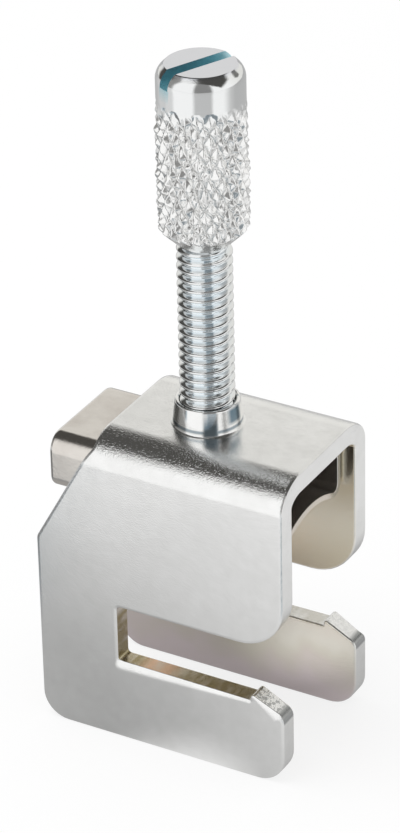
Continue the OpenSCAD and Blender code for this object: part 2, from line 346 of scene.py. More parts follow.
def rounded_outline(corners, radii, steps=8):
    """A closed polygon with round corners. At each corner the circle's centre lies on the bisector, at the
    radius over the sine of half the angle, and the arc swings from one tangent point to the other."""
    u, v = unit(np.roll(corners, 1, 0) - corners), unit(np.roll(corners, -1, 0) - corners)
    half = np.arccos((u * v).sum(1)) / 2
    reach = (radii / np.tan(half))[:, None]
    centre = corners + unit(u + v) * (radii / np.sin(half))[:, None]
    sweep = (np.pi - 2 * half)[:, None]
    k = np.linspace(0, 1, steps + 1)
    start, end = np.sin((1 - k) * sweep) / np.sin(sweep), np.sin(k * sweep) / np.sin(sweep)
    arcs = start[..., None] * (corners + u * reach - centre)[:, None]
    arcs = arcs + end[..., None] * (corners + v * reach - centre)[:, None]
    return (centre[:, None] + arcs).reshape(-1, 2)


def with_bend_lines(outline, stations):
    """Adds the points where a closed outline crosses the lines of constant second coordinate."""
    step = np.roll(outline, -1, 0) - outline
    rise = np.where(step[:, 1] == 0, np.inf, step[:, 1])[:, None]
    t = (stations - outline[:, 1:]) / rise
    i, k = np.nonzero((t > 1e-4) & (t < 1 - 1e-4))
    places = np.concatenate([np.arange(len(outline)), i + t[i, k]])
    points = np.concatenate([outline, outline[i] + step[i] * t[i, k][:, None]])
    return points[np.argsort(places)]


def inward_mitre(outline):
    """Inward offset of each point of a closed outline for an inset of one: the mitre of its two edges."""
    edge = unit(np.roll(outline, -1, 0) - outline)
    area = (outline[:, 0] * np.roll(outline[:, 1], -1) - np.roll(outline[:, 0], -1) * outline[:, 1]).sum()
    normal = np.stack([-edge[:, 1], edge[:, 0]], 1) * np.sign(area)
    before = np.roll(normal, 1, 0)
    return (before + normal) / (1 + (before * normal).sum(1))[:, None]


def edge_profile(sheet, roll, lean, crisp, relief):
    """Inset, depth and surface angle across a punched edge: a roll that ends at the lean, a crisp outer
    corner, the straight cut and an inner corner with its relief. Along the roll's share t the tangent of the
    surface angle grows as t times (2 - t), so the depth grows as t squared less a third of t cubed. The
    corners are circle arcs. The roll's width may change along the edge."""
    t = np.linspace(0, 1, 8)[:, None]
    outer = np.linspace(lean, QUARTER, 5)[1:, None]
    inner = np.linspace(0, QUARTER, 5)[:, None]
    rest, same = crisp * (1 - math.sin(lean)), 0 * roll
    drop = (roll - rest) * math.tan(lean)
    arc = crisp * (math.cos(lean) - np.cos(outer))
    inset = rest + (roll - rest) * (1 - t), crisp * (1 - np.sin(outer)), relief * (1 - np.cos(inner))
    depth = drop * (t**2 - t**3 / 3), drop * 2 / 3 + arc, sheet - relief * (1 - np.sin(inner))
    angle = np.arctan(math.tan(lean) * t * (2 - t)), outer, QUARTER + inner
    return tuple(np.concatenate([part + same for part in parts]) for parts in (inset, depth, angle))


def add_edge(skin, fold, outline, inward, profile, closed=True):
    """A sheet's edge: the edge profile carried along the flat outline, then folded. The normal swings from
    the outer face, out over the edge, to the inner face."""
    inset, depth, angle = profile
    flat = outline + inward * inset[..., None]
    points, outward, along = fold(flat, depth)
    out = -unit(inward)
    edge = along * out[..., 1:] + np.array([1.0, 0, 0]) * out[..., :1]
    normals = outward * np.cos(angle)[..., None] + edge * np.sin(angle)[..., None]
    faces = grid_quads(len(angle), len(outline), close_columns=closed)
    wide = angle + 0 * outline[:, 0]
    skin.add(
        points, normals, faces, cut=np.clip((np.sin(wide) - 0.9) * 10, 0, 1),
        rub=np.clip(np.sin(2 * wide), 0, 1), inner=np.clip(wide / QUARTER - 1, 0, 1),
    )


def add_face(skin, fold, outline, holes, lattice, depth, side, **marks):
    """One face of a sheet: the constrained Delaunay triangles of its flat outline, holes and lattice points,
    folded at the given depth. Side is 1 for the outer face and -1 for the inner one."""
    rings = [outline, *holes]
    flat = np.concatenate([*rings, lattice])
    starts = np.cumsum([0] + [len(ring) for ring in rings])
    numbers = [np.arange(len(ring)) for ring in rings]
    edges = np.concatenate([np.stack([n, np.roll(n, -1)], 1) + s for n, s in zip(numbers, starts)])
    found, _, tris, origin, _, _ = delaunay_2d_cdt(
        [Vector(p) for p in flat / MM], edges.tolist(), [], 1, 1e-6
    )
    if len(found) != len(flat):
        raise RuntimeError("The flat pattern crosses itself or has doubled points")
    tris = np.array([o[0] for o in origin])[np.array(tris)]
    for a, b in zip(starts[1:], starts[2:]):
        tris = tris[~((tris >= a) & (tris < b)).all(1)]
    points, outward, _ = fold(flat, np.full(len(flat), depth))
    skin.add(points, outward * side, tris, **marks)


def turned_path(corners, radii, steps=6):
    """A half section of a turned part with round corners, as points and normals in (radius, height). The
    normal lies to the right of the way, and on each arc it swings from one straight to the next."""
    corners, radii = np.asarray(corners, float), np.asarray(radii, float)
    way = unit(np.diff(corners, axis=0))
    normal = np.stack([way[:, 1], -way[:, 0]], 1)
    bend = np.arccos(np.clip((way[:-1] * way[1:]).sum(1), -1, 1))
    left = np.sign(way[:-1, 0] * way[1:, 1] - way[:-1, 1] * way[1:, 0])
    start = corners[1:-1] - way[:-1] * (radii * np.tan(bend / 2))[:, None]
    centre = start - normal[:-1] * (left * radii)[:, None]
    k, bend = np.linspace(0, 1, steps + 1), bend[:, None]
    swing = (np.sin((1 - k) * bend) / np.sin(bend))[..., None] * normal[:-1, None]
    swing = swing + (np.sin(k * bend) / np.sin(bend))[..., None] * normal[1:, None]
    arcs = centre[:, None] + (left * radii)[:, None, None] * swing
    points = np.concatenate([corners[:1], arcs.reshape(-1, 2), corners[-1:]])
    return points, np.concatenate([normal[:1], swing.reshape(-1, 2), normal[-1:]])


def round_axis(radius, height, angle, axis_x):
    """Points at a radius and height round the screw's axis."""
    x, y, z = np.broadcast_arrays(axis_x + radius * np.cos(angle), radius * np.sin(angle), height)
    return np.stack([x, y, z], -1)


def add_turned(skin, path, normals, angle, axis_x, **marks):
    """A turned surface: a half section carried round the axis."""
    r, z = path[:, :1], path[:, 1:]
    points = round_axis(r, z, angle, axis_x)
    facing = round_axis(normals[:, :1], normals[:, 1:], angle, 0.0)
    skin.add(points, facing, grid_quads(len(path), len(angle), close_columns=True), **marks)


def surface_normals(points):
    """Normals of a grid that is closed along its columns, from the cross product of its two slopes."""
    across = np.roll(points, -1, 1) - np.roll(points, 1, 1)
    return unit(np.cross(across, np.gradient(points, axis=0)) + 1e-15)


def add_zip(skin, low, high, axis_x, upright, **marks):
    """A strip of triangles between two rings round the axis that differ in their number of points. All points
    are passed in the order of their angles, and each makes a triangle with the point before it on its own
    ring and the last one passed on the other ring. The strip faces outwards, or up or down by upright."""
    points = np.concatenate([low, high])
    angle = np.arctan2(points[:, 1], points[:, 0] - axis_x) % (2 * np.pi)
    a, b = np.argsort(angle[: len(low)]), len(low) + np.argsort(angle[len(low):])
    on_b = b[np.searchsorted(angle[b], angle[a], "left") - 1]
    on_a = a[np.searchsorted(angle[a], angle[b], "right") - 1]
    tris = np.concatenate([np.stack([np.roll(a, 1), a, on_b], 1), np.stack([np.roll(b, 1), b, on_a], 1)])
    skin.add(points, round_axis(1.0 - abs(upright), upright, angle, 0.0), tris, **marks)


def full_turn(count):
    """Equal steps round a circle."""
    return np.arange(count) * (2 * np.pi / count)


def unit_circle(count):
    """Points at equal steps round a flat circle of radius one."""
    angle = full_turn(count)
    return np.stack([np.cos(angle), np.sin(angle)], 1)


def bend_start(size):
    """Distance from the middle of the top plate to the start of a bend."""
    return size.width / 2 - size.bend_reach


class CLAMP_OT_frame(bpy.types.Operator):
    """Builds the frame from its flat blank: rolled edges, two bends, busbar slots and the drawn collar"""

    bl_idname = "clamp.frame"
    bl_label = "Folded Frame"
    bend_steps = 180
    bend_lines = 20
    corner_steps = 10
    collar_steps = 72
    plate_columns = 9

    def bend(self):
        """A bend's outer face in end view: a quarter ellipse from the top plate to the side plate. Gives the
        way along it, the reach outwards, the drop, and the lean of its normal, whose tangent is the ellipse's
        fall over its reach times the tangent of the ellipse's own angle."""
        s = self.size
        angle = np.linspace(0, QUARTER, self.bend_steps + 1)
        reach, drop = s.bend_reach * np.sin(angle), s.bend_fall * (1 - np.cos(angle))
        way = np.cumsum(np.r_[0, np.hypot(np.diff(reach), np.diff(drop))])
        return way, reach, drop, np.arctan2(s.bend_fall * np.sin(angle), s.bend_reach * np.cos(angle))

    def fold(self, flat, depth):
        """Folds the blank. The second flat coordinate runs over the outer face from the middle of the top
        plate: straight over the top, round the bend by the way along it, then straight down."""
        s = self.size
        way, reach, drop, lean = self.bend()
        half = bend_start(s)
        side, far = np.where(flat[..., 1] < 0, -1.0, 1.0), np.abs(flat[..., 1])
        past = np.maximum(far - half, 0)
        angle = np.interp(past, way, lean)
        zero = 0 * depth + 0 * angle
        y = side * (np.minimum(far, half) + np.interp(past, way, reach) - depth * np.sin(angle))
        z = s.height - np.interp(past, way, drop) - np.maximum(past - way[-1], 0) - depth * np.cos(angle)
        outward = np.stack([zero, side * np.sin(angle) + zero, np.cos(angle) + zero], -1)
        along = np.stack([zero, np.cos(angle) + zero, -side * np.sin(angle) + zero], -1)
        return np.stack([flat[..., 0] + zero, y, z], -1), outward, along

    def down(self, z):
        """The way from the middle of the top plate over the outer face down to the heights."""
        s = self.size
        way, _, drop, _ = self.bend()
        depth = s.height - z
        return bend_start(s) + np.interp(depth, drop, way) + np.maximum(depth - s.bend_fall, 0)

    def blank(self):
        """Outline of the flat blank: the corners of one side plate, rounded, and the same mirrored. Heights
        become distances from the middle of the top plate, measured over the outer face."""
        s = self.size
        x, z, radii = np.array([
            (s.mouth_x, s.jaw_z, s.jaw_radius),
            (s.slot_x, s.jaw_z, s.slot_fillet),
            (s.slot_x, s.seat_z, s.slot_fillet),
            (s.nose_x, s.seat_z, s.nose_root),
            (s.nose_x, s.nose_z, s.nose_radius),
            (s.mouth_x, s.lead_z, s.tip_radius),
            (s.mouth_x, 0.0, s.toe_radius),
            (s.heel_x, 0.0, s.heel_radius),
            (s.heel_x, s.slant_start, s.slant_radius),
            (s.top_x, s.slant_end, s.slant_radius),
        ]).T
        reach = self.down(z)
        corners = np.stack([np.concatenate([x, x[::-1]]), np.concatenate([reach, -reach[::-1]])], 1)
        return rounded_outline(corners, np.concatenate([radii, radii[::-1]]), self.corner_steps)

    def roll(self, outline, inward):
        """The rolled edge's width along the outline: full size where the edge faces up, and a third of it on
        the other edges. Round the sharp nose it is no more than most of the nose's radius, plus half of the
        way past its reach."""
        s = self.size
        level, steep, nose_reach = 0.5, 0.86, 0.4 * MM
        up = np.clip((unit(inward)[:, 1] * np.sign(outline[:, 1]) - level) / (steep - level), 0, 1)
        away = np.hypot(outline[:, 0] - s.nose_x, np.abs(outline[:, 1]) - self.down(s.nose_z))
        slim = 0.85 * s.nose_radius + np.maximum(away - nose_reach, 0) / 2
        return np.minimum(s.edge_roll * (1 + 2 * up) / 3, slim)

    def execute(self, context):
        """The rolled edge round the blank, the two faces inside it, and the collar as a turned surface that
        joins the faces' holes."""
        s = self.size = context.scene.clamp_frame
        skin = Skin()
        lines = bend_start(s) + self.bend()[0][:: self.bend_steps // self.bend_lines]
        lines = np.concatenate([-lines[::-1], lines])
        outline = with_bend_lines(self.blank(), lines)
        inward = inward_mitre(outline)
        roll = self.roll(outline, inward)
        profile = edge_profile(s.sheet, roll, s.edge_lean, s.edge_break, s.inner_break)
        add_edge(skin, self.fold, outline, inward, profile)
        margin, ring = 1.2 * MM, 0.1 * MM
        columns = np.linspace(s.top_x + margin, s.mouth_x - margin, self.plate_columns)
        lattice = np.stack(np.meshgrid(columns, lines), -1).reshape(-1, 2)
        circle = unit_circle(self.collar_steps)
        centre = np.array([SCREW_AXIS, 0.0])
        foot, foot_z = s.collar_radius + s.collar_fillet + ring, s.height
        under, under_z = s.bore_radius + s.bore_entry + ring, s.height - s.sheet
        for rim, hole, depth, side in (
            (outline + inward * roll[:, None], foot, 0.0, 1),
            (outline + inward * s.inner_break, under, s.sheet, -1),
        ):
            add_face(skin, self.fold, rim, [centre + circle * hole], lattice, depth, side, inner=side < 0)
        collar, facing = turned_path(
            [
                (foot, foot_z), (s.collar_radius, foot_z), (s.collar_radius - s.collar_draft, s.collar_top),
                (s.bore_radius, s.collar_top), (s.bore_radius, under_z), (under, under_z),
            ],
            [s.collar_fillet, s.collar_rim, s.collar_rim, s.bore_entry],
        )
        drawn = np.clip((collar[:, 1:] - s.height) / s.collar_fillet, 0, 1)
        add_turned(skin, collar, facing, full_turn(self.collar_steps), SCREW_AXIS, drawn=drawn)
        plating = frame_plating(context.scene.clamp_finish, s)
        skin.piece("folded_frame", plating, "clamp_frame", "frame", "frame_plating")
        return {"FINISHED"}


class CLAMP_OT_saddle(bpy.types.Operator):
    """Builds the pressure saddle: a sheet sleeve with an arched underside and a swivel hole in its roof"""

    bl_idname = "clamp.saddle"
    bl_label = "Pressure Saddle"
    arch_steps = 8
    bend_steps = 16
    hole_steps = 48
    sheet_columns = 9

    def section(self):
        """Outer end view from the middle of the underside, up over the roof and back: the arch and the lower
        bend as circle arcs that touch, the wall and the upper bend as a quarter ellipse, mirrored to the
        other half. The normal at an ellipse's angle is its cosine and sine, each over its own half axis."""
        s = self.size
        horn_y, horn_z = s.half - s.horn_radius, s.low + s.horn_radius
        arch = (horn_y**2 + s.arch_rise**2) / (2 * s.arch_rise) - s.horn_radius
        arch_z = s.low + s.arch_rise - arch
        lean = math.atan2(horn_z - arch_z, horn_y)
        bend_y, bend_z = s.half - s.bend_reach, s.top - s.bend_fall
        points, normals = [], []
        for y, z, wide, high, way, start, end, steps in (
            (0.0, arch_z, arch, arch, -1.0, QUARTER, lean, self.arch_steps),
            (horn_y, horn_z, s.horn_radius, s.horn_radius, 1.0, lean - np.pi, 0.0, self.bend_steps),
            (bend_y, bend_z, s.bend_reach, s.bend_fall, 1.0, 0.0, QUARTER, self.bend_steps),
        ):
            angle = np.linspace(start, end, steps + 1)
            points.append(np.stack([y + wide * np.cos(angle), z + high * np.sin(angle)], 1))
            normals.append(unit(np.stack([np.cos(angle) / wide, np.sin(angle) / high], 1)) * way)
        points, normals = np.concatenate(points), np.concatenate(normals)
        keep = np.r_[True, np.linalg.norm(np.diff(points, axis=0), axis=1) > 1e-7]
        points, normals = points[keep], normals[keep]
        flip = np.array([-1.0, 1.0])
        points = np.concatenate([points, points[::-1] * flip])
        return points, np.concatenate([normals, normals[::-1] * flip])

    def fold(self, flat, depth):
        """Wraps the flat sleeve: the second coordinate is the way round the end view, and the depth goes
        back along its normal."""
        points, normals = self.path
        y, z, ny, nz = (np.interp(flat[..., 1], self.way, c) for c in (*points.T, *normals.T))
        zero = 0 * depth + 0 * y
        outward = unit(np.stack([zero, ny + zero, nz + zero], -1))
        place = np.stack([flat[..., 0] + zero, y + zero, z + zero], -1)
        along = np.stack([zero, -outward[..., 2], outward[..., 1]], -1)
        return place - outward * (depth + zero)[..., None], outward, along

    def execute(self, context):
        """The sheared edges at both ends and round the swivel hole, then the two faces between them."""
        s = self.size = context.scene.clamp_saddle
        skin = Skin()
        self.path = self.section()
        self.way = np.concatenate([[0.0], np.cumsum(np.linalg.norm(np.diff(self.path[0], axis=0), axis=1))])
        profile = edge_profile(s.sheet, np.array([s.edge_roll]), s.edge_lean, s.edge_break, s.edge_break)
        ends = np.ones_like(self.way)
        for end_x, inward in ((s.low_x, 1.0), (s.high_x, -1.0)):
            chain = np.stack([ends * end_x, self.way], 1)
            add_edge(skin, self.fold, chain, ends[:, None] * np.array([inward, 0.0]), profile, closed=False)
        circle = unit_circle(self.hole_steps)
        centre = np.array([SCREW_AXIS, self.way[-1] / 2])
        add_edge(skin, self.fold, centre + circle * s.hole_radius, circle, profile)
        columns = np.linspace(s.low_x, s.high_x, self.sheet_columns + 2)[1:-1]
        lattice = np.stack(np.meshgrid(columns, self.way[1:-1]), -1).reshape(-1, 2)
        lattice = lattice[np.linalg.norm(lattice - centre, axis=1) > 2 * s.hole_radius]
        for depth, side, inset in ((0.0, 1, s.edge_roll), (s.sheet, -1, s.edge_break)):
            low, high = (np.stack([ends * x, self.way], 1) for x in (s.low_x + inset, s.high_x - inset))
            rim, hole = np.concatenate([low, high[::-1]]), centre + circle * (s.hole_radius + inset)
            add_face(skin, self.fold, rim, [hole], lattice, depth, side, inner=side < 0)
        plating = saddle_plating(context.scene.clamp_finish)
        skin.piece("saddle_sleeve", plating, "saddle", "pressure_saddle", "saddle_plating")
        return {"FINISHED"}


class CLAMP_OT_screw(bpy.types.Operator):
    """Builds the clamping screw: riveted journal, thread, knurled grip and slotted smooth top"""

    bl_idname = "clamp.screw"
    bl_label = "Clamping Screw"
    thread_steps = 80
    turn_rows = 18
    diamond_steps = 16
    cap_steps = 60
    cap_rings = 9
    slot_steps = 8
    cap_polish = 0.2

    def add_journal(self, skin):
        """The journal under the shoulder and its riveted end: a turned surface up to the thread's root."""
        s = self.size
        rivet_round, shoulder_round, sharp, run_out = 0.35 * MM, 0.1 * MM, 0.05 * MM, 0.1 * MM
        path, facing = turned_path(
            [
                (0.0, s.low_z), (s.rivet_radius, s.low_z),
                (s.rivet_radius, s.rivet_z), (s.journal_radius, s.rivet_z),
                (s.journal_radius, s.shoulder_z), (s.thread_radius, s.shoulder_z),
                (s.thread_radius, s.thread_z - run_out), (s.thread_radius - s.thread_depth, s.thread_z),
            ],
            [rivet_round, sharp, sharp, sharp, shoulder_round, sharp],
        )
        add_turned(skin, path, facing, full_turn(self.thread_steps), s.axis_x)

    def add_thread(self, skin):
        """The rolled thread: the radius is a trapezium wave, eased at its crests and roots, of height over
        pitch minus turn. It climbs one pitch a turn to the right and fades out at both ends. Returns the top
        ring."""
        s = self.size
        flat, run_out = 0.1, 0.5 * MM
        angle = full_turn(self.thread_steps)
        rows = int((s.grip_z - s.thread_z) / s.thread_pitch * self.turn_rows)
        z = np.linspace(s.thread_z, s.grip_z, rows)[:, None]
        wave = (z / s.thread_pitch - angle / (2 * np.pi)) % 1.0
        flank = np.clip((1 - np.abs(2 * wave - 1) - flat) / (1 - 2 * flat), 0, 1)
        fade = np.clip(np.minimum(z - s.thread_z, s.grip_z - z) / run_out, 0, 1)
        tooth = flank**2 * (3 - 2 * flank) * fade
        points = round_axis(s.thread_radius - s.thread_depth * (1 - tooth), z, angle, s.axis_x)
        normals = surface_normals(points)
        skin.add(
            points, normals, grid_quads(*tooth.shape, close_columns=True), valley=1 - tooth,
            rub=np.clip(tooth * 4 - 3, 0, 1),
        )
        return points[-1]

    def add_grip(self, skin):
        """The knurl: two crossed sets of grooves that wander a little, each a triangle wave of turn plus or
        minus height, one steeper than the other. The lower wave of the two is the diamond's height, which
        each diamond's wear scales by a hash of its row and column. A pit is where both waves are low. A cone
        trims the lower end, and the grooves fade out at the top. Returns the lowest and the highest ring."""
        s = self.size
        slow, quick = 0.08, 0.05
        row_step, column_step, scatter = 12.9898, 78.233, 43758.5453
        worn_crest, crest_gain, foot_step = 0.68, 0.32, 0.1 * MM
        angle = full_turn(s.knurl_count * self.diamond_steps)
        rows = int((s.cap_z - s.grip_z) / s.diamond_length * self.diamond_steps)
        z = np.linspace(s.grip_z, s.cap_z, rows)[:, None]
        climb, go = (z - s.cap_z) / s.diamond_length, angle * s.knurl_count / (2 * np.pi)
        rising = go + climb + slow * np.sin(9 * angle + 5 * climb) + quick * np.sin(23 * angle - 9 * climb)
        falling = go - climb + slow * np.sin(11 * angle - 4 * climb) + quick * np.sin(19 * angle + 8 * climb)
        steep, shallow = (1 - np.abs(2 * (way % 1.0) - 1) for way in (rising, falling))
        row, column = (np.floor(way) % s.knurl_count for way in (rising, falling))
        wear = np.sin(row * row_step + column * column_step) * scatter % 1.0
        diamond = np.clip(np.minimum(steep, shallow * 0.85 + 0.15) * 1.18 - 0.06, 0, 1)
        diamond = diamond * (worn_crest + crest_gain * wear)
        radius = s.knurl_radius - s.knurl_depth * (1 - diamond)
        fade = np.clip((z - s.fade_z) / (s.cap_z - s.fade_z), 0, 1)
        radius = radius + (s.cap_radius - radius) * fade
        foot = s.thread_radius - foot_step + (z - s.grip_z)
        points = round_axis(np.minimum(radius, foot), z, angle, s.axis_x)
        normals = surface_normals(points)
        sunk = np.clip(1.6 - 2.2 * wear, 0.15, 1)
        pit = np.clip((1.15 - (steep + shallow) * 1.5) * sunk, 0, 1) * (1 - fade)
        skin.add(
            points, normals, grid_quads(rows, len(angle), close_columns=True),
            pit=np.where(radius > foot, 0.0, pit), rub=np.clip(diamond * 3 - 2, 0, 1), grip=1 - fade,
        )
        return points[0], points[-1]

    def add_cap(self, skin, grip_ring):
        """The smooth top: a turned foot, and two halves beside the screwdriver slot. A half at a radius r is
        the arc that leaves the slot's wall free, so its half angle is the arc cosine of the wall's distance
        over r."""
        s = self.size
        wall, floor_z = s.driver_width / 2, s.head_z - s.driver_depth
        chamfer_round, rim_round = 1.1 * MM, 0.15 * MM
        rim, facing = turned_path(
            [
                (s.cap_radius, floor_z), (s.cap_radius, s.head_z - s.cap_chamfer),
                (s.cap_radius - s.cap_chamfer, s.head_z), (wall + s.driver_break, s.head_z),
            ],
            [chamfer_round, rim_round],
            steps=12,
        )
        inner = np.linspace(rim[-2, 0], rim[-1, 0], self.cap_rings + 1)[1:, None]
        rim = np.concatenate([rim[:-1], np.concatenate([inner, inner * 0 + s.head_z], 1)])
        facing = np.concatenate([facing[:-1], np.tile([0.0, 1.0], (self.cap_rings, 1))])
        rise = np.clip((rim[:, 1] - s.head_z + s.driver_break) / s.driver_break, 0, 1)
        near = wall + rise * s.driver_break
        k = np.linspace(-1, 1, self.cap_steps + 1)
        spread = np.arccos(np.clip(near / rim[:, 0], -1, 1))[:, None] * k
        spin = s.driver_angle + QUARTER
        floor_ring = []
        for half_turn in (0.0, np.pi):
            angle = spread + spin + half_turn
            points = round_axis(rim[:, :1], rim[:, 1:], angle, s.axis_x)
            normals = round_axis(facing[:, :1], facing[:, 1:], angle, 0.0)
            skin.add(points, normals, grid_quads(len(rim), len(k)), rub=self.cap_polish)
            side = np.concatenate([points[:, 0], points[::-1, -1][1:]])
            across = np.array([math.cos(spin + half_turn), math.sin(spin + half_turn), 0.0])
            self.add_wall(skin, side, -across)
            floor_ring.append(points[0])
        self.add_foot(skin, floor_ring, floor_z, grip_ring)

    def add_wall(self, skin, ring, facing):
        """A flat wall of the screwdriver slot: a fan of triangles from the middle of its foot to its rim."""
        points = np.concatenate([(ring[:1] + ring[-1:]) / 2, ring])
        skin.add(points, facing, fan(len(points)), driver=1.0)

    def add_foot(self, skin, halves, floor_z, grip_ring):
        """The turned foot of the smooth top, whose upper ring takes the halves' arcs and a short arc at each
        end of the slot, the strip down to the grip, and the slot's flat floor."""
        s = self.size
        spin = s.driver_angle + QUARTER
        open_half = QUARTER - math.acos(s.driver_width / 2 / s.cap_radius)
        short = np.linspace(-open_half, open_half, self.slot_steps + 1)[1:-1]
        ends = short + spin + QUARTER, short + spin + 3 * QUARTER
        first, second = (np.arctan2(h[:, 1], h[:, 0] - s.axis_x) for h in halves)
        angle = np.concatenate([first, ends[0], second, ends[1]])
        rows = np.array([[s.cap_radius, floor_z], [s.cap_radius, floor_z - s.stain_reach]])
        below = np.abs(np.cos(angle - s.driver_angle)) > math.cos(open_half) - 1e-4
        stain = np.array([[1.0], [0.0]]) * below
        add_turned(skin, rows, np.array([[1.0, 0.0]] * 2), angle, s.axis_x, rub=self.cap_polish, driver=stain)
        add_zip(skin, grip_ring, round_axis(*rows[1], angle, s.axis_x), s.axis_x, 0.0, rub=self.cap_polish)
        middles = [(half[:1] + half[-1:]) / 2 for half in halves]
        arcs = [round_axis(s.cap_radius, floor_z, end, s.axis_x) for end in ends]
        ring = np.concatenate([
            middles[0], halves[0][-1:], arcs[0], halves[1][:1],
            middles[1], halves[1][-1:], arcs[1], halves[0][:1],
        ])
        skin.add(ring, np.array([0, 0, 1.0]), fan(len(ring)), driver=1.0)

    def execute(self, context):
        """The screw from its riveted end up, with strips between the thread, the grip and the smooth top."""
        self.size = context.scene.clamp_screw
        skin = Skin()
        self.add_journal(skin)
        thread_ring = self.add_thread(skin)
        grip_foot, grip_top = self.add_grip(skin)
        add_zip(skin, thread_ring, grip_foot, self.size.axis_x, -1.0)
        self.add_cap(skin, grip_top)
        plating = screw_plating(context.scene.clamp_finish, self.size)
        skin.piece("knurled_screw", plating, "screw", "clamping_screw", "screw_plating")
        return {"FINISHED"}


class Shader:
    """A node tree with short calls to add nodes, set their sockets and join them"""

    def __init__(self, tree):
        tree.nodes.clear()
        self.tree = tree

    def node(self, kind, sockets=(), **settings):
        """Adds a node; a socket's value is a number, a colour or another node's output."""
        node = self.tree.nodes.new(kind)
        for name, value in settings.items():
            setattr(node, name, value)
        for key, value in dict(sockets).items():
            if isinstance(value, bpy.types.NodeSocket):
                self.tree.links.new(value, node.inputs[key])
            else:
                node.inputs[key].default_value = value
        return node

    def places(self):
        """Places on the piece, which rests at the origin."""
        return self.node("ShaderNodeTexCoord").outputs["Object"]

    def stretched(self, where, scale):
        """Places scaled along the axes: a pattern is drawn out where the scale is small."""
        return self.node("ShaderNodeMapping", {"Vector": where, "Scale": scale}).outputs["Vector"]

    def noise(self, where, scale, detail=2.0):
        """Cloudy noise with this many cells a metre."""
        return self.node(
            "ShaderNodeTexNoise", {"Vector": where, "Scale": scale, "Detail": detail, "Roughness": 0.6}
        ).outputs["Fac"]

    def mark(self, name):
        """A finish mark of the mesh."""
        return self.node("ShaderNodeAttribute", attribute_name=name).outputs["Fac"]

    def ramp(self, number, low, high, to_low=0.0, to_high=1.0):
        """A number moved from one range to another and held inside it."""
        return self.node(
            "ShaderNodeMapRange",
            {"Value": number, "From Min": low, "From Max": high, "To Min": to_low, "To Max": to_high},
        ).outputs["Result"]

    def ease(self, number, low, high, to_low, to_high):
        """As a ramp, but with soft ends."""
        eased = self.ramp(number, low, high, to_low, to_high)
        eased.node.interpolation_type = "SMOOTHSTEP"
        return eased

    def join(self, operation, first, *others):
        """Numbers joined one after another by the same operation."""
        for other in others:
            first = self.node("ShaderNodeMath", {0: first, 1: other}, operation=operation).outputs[0]
        return first

    def product(self, *numbers):
        """Numbers multiplied."""
        return self.join("MULTIPLY", *numbers)

    def most(self, *numbers):
        """The largest of some numbers."""
        return self.join("MAXIMUM", *numbers)

    def total(self, *numbers):
        """Numbers added up."""
        return self.join("ADD", *numbers)

    def weighted(self, *pairs):
        """Numbers added up, each times its own weight."""
        return self.total(*(self.product(number, weight) for number, weight in pairs))

    def rest(self, number):
        """What a number leaves of one."""
        return self.join("SUBTRACT", 1.0, number)

    def off(self, number, middle):
        """How far a number lies from a middle, to either side."""
        gap = self.join("SUBTRACT", number, middle)
        return self.node("ShaderNodeMath", {0: gap}, operation="ABSOLUTE").outputs[0]

    def band(self, number, start, full, ebb, end):
        """One from full to ebb, fading to nothing at start and at end."""
        return self.product(self.ramp(number, start, full), self.ramp(number, end, ebb))

    def vector(self, operation, *vectors):
        """One step of vector arithmetic."""
        node = self.node("ShaderNodeVectorMath", enumerate(vectors), operation=operation)
        return node.outputs["Value" if operation in {"DOT_PRODUCT", "DISTANCE"} else "Vector"]

    def along(self, vector, direction):
        """How far a vector reaches in a direction."""
        return self.vector("DOT_PRODUCT", vector, direction)

    def around(self, vector):
        """The level direction of a vector."""
        return self.vector("NORMALIZE", self.vector("MULTIPLY", vector, (1.0, 1.0, 0.0)))

    def blend(self, amount, a, b):
        """A colour between two colours, each of them a written colour or another node's output."""
        a, b = (c if isinstance(c, bpy.types.NodeSocket) else (*c, 1.0) for c in (a, b))
        return self.node("ShaderNodeMix", {0: amount, 6: a, 7: b}, data_type="RGBA").outputs[2]

    def layers(self, colour, *coats):
        """A colour with others laid over it in turn, each by its own amount."""
        for amount, coat in coats:
            colour = self.blend(amount, colour, coat)
        return colour

    def metal(self, colour, roughness, height, strength):
        """The plated surface with its grain as a bump."""
        bump = self.node(
            "ShaderNodeBump", {"Height": height, "Strength": strength, "Distance": GRAIN_HEIGHT}
        )
        surface = self.node(
            "ShaderNodeBsdfPrincipled",
            {"Base Color": colour, "Metallic": 1.0, "Roughness": roughness, "Normal": bump.outputs["Normal"]},
        )
        self.node("ShaderNodeOutputMaterial", {"Surface": surface.outputs["BSDF"]})


def material(name):
    """A new material and its shader."""
    made = bpy.data.materials.new(name)
    made.use_nodes = True
    return made, Shader(made.node_tree)


def frame_tone(tree, finish, size, where, x, z, clouds):
    """Duller clouds on the outer faces. Inside the fold, painted reflection of the facing plates: a rosy tone
    low down, straw above it, and pale straw painted as light in the prongs' tips near the open end, with
    borders that wander."""
    outside = tree.blend(clouds, finish.frame_tint, finish.frame_shade)
    wander = tree.total(z, tree.product(tree.noise(where, 240.0), 6.0 * MM))
    above = tree.ramp(wander, size.seat_z - 2.4 * MM, size.seat_z + 0.6 * MM)
    tips = tree.product(
        tree.ramp(x, size.slot_x + 2.5 * MM, size.slot_x + 8.5 * MM),
        tree.ramp(wander, size.seat_z - 0.4 * MM, size.seat_z + 1.6 * MM),
        tree.ramp(z, size.jaw_z - 1.0 * MM, size.jaw_z - 2.5 * MM),
    )
    # Painted reflection inside the fold, with painted light in the prongs' tips.
    inside = tree.layers(finish.painted_low_reflection_tint, (above, finish.painted_inner_reflection_tint), (tips, finish.painted_tip_light_tint))
    return tree.blend(tree.mark("inner"), outside, inside)


